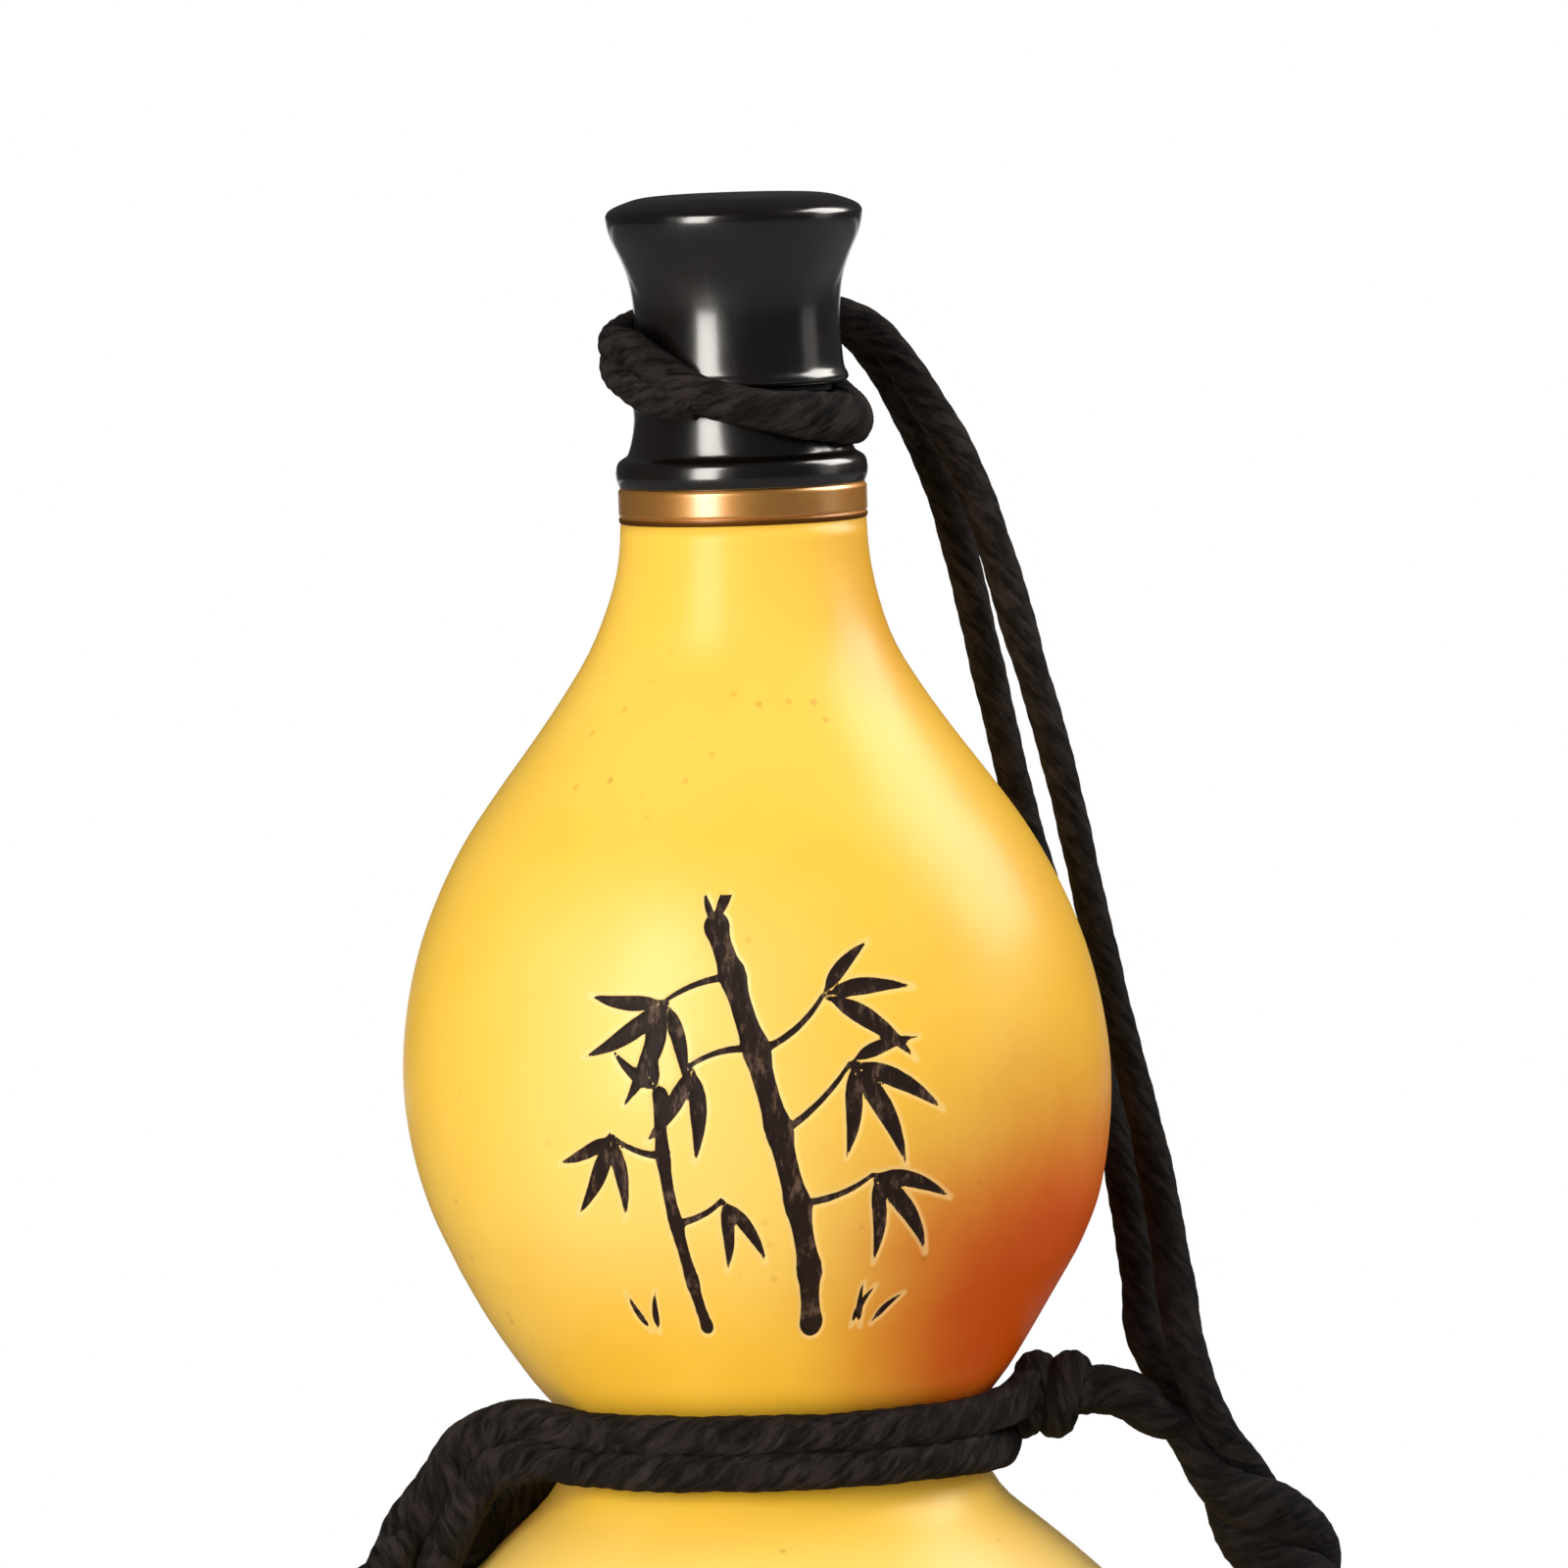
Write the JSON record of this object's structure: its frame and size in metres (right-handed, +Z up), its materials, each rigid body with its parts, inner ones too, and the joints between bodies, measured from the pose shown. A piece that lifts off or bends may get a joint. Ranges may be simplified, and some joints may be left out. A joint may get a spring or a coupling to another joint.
{
  "type": "gourd bottle",
  "caption": "Dried gourd bottle with a brass neck ring, a black screwed stopper, a cord lanyard and a twisted carrying strap knotted at the waist.",
  "frame": {"origin": "middle of the flat base, on the surface that the bottle stands on", "axes": "+Z up along the bottle's axis through the neck, -Y towards the viewer (the decorated front), +X to the viewer's right, the side of the waist knot"},
  "size_m": [0.1214, 0.1567, 0.2242],
  "materials": {
    "gourd": "satin lacquer over dried gourd rind",
    "brass": "polished",
    "black_gloss": "high gloss",
    "seal": "matt",
    "cord": "spun cotton, matt"
  },
  "bodies": {
    "bottle": {"gourd_shell": "gourd", "brass_ring": "brass", "mouth_collar": "black_gloss", "waist_cord_upper": "cord", "waist_cord_lower": "cord", "waist_cord_rear": "cord", "waist_knot": "cord", "carry_strap": "cord"},
    "stopper_cord": {"stopper_loop": "cord", "stopper_knot": "cord", "lanyard_front": "cord", "lanyard_rear": "cord"},
    "stopper": {"stopper_cap": "black_gloss", "stopper_plug": "black_gloss", "seal_washer": "seal"}
  },
  "joints": [
    {"name": "stopper_rise", "type": "slide", "parent": "bottle", "child": "stopper_cord", "axis": [0, 0, 1], "range_m": [0, 0.014]},
    {"name": "stopper_turn", "type": "hinge", "parent": "stopper_cord", "child": "stopper", "pos_m": [0, 0, 0.2049], "axis": [0, 0, 1], "range_deg": [0, 1440]}
  ],
  "couplings": [
    {"joint": "stopper_rise", "follows": "stopper_turn", "m_per_rad": 0.00055704}
  ]
}
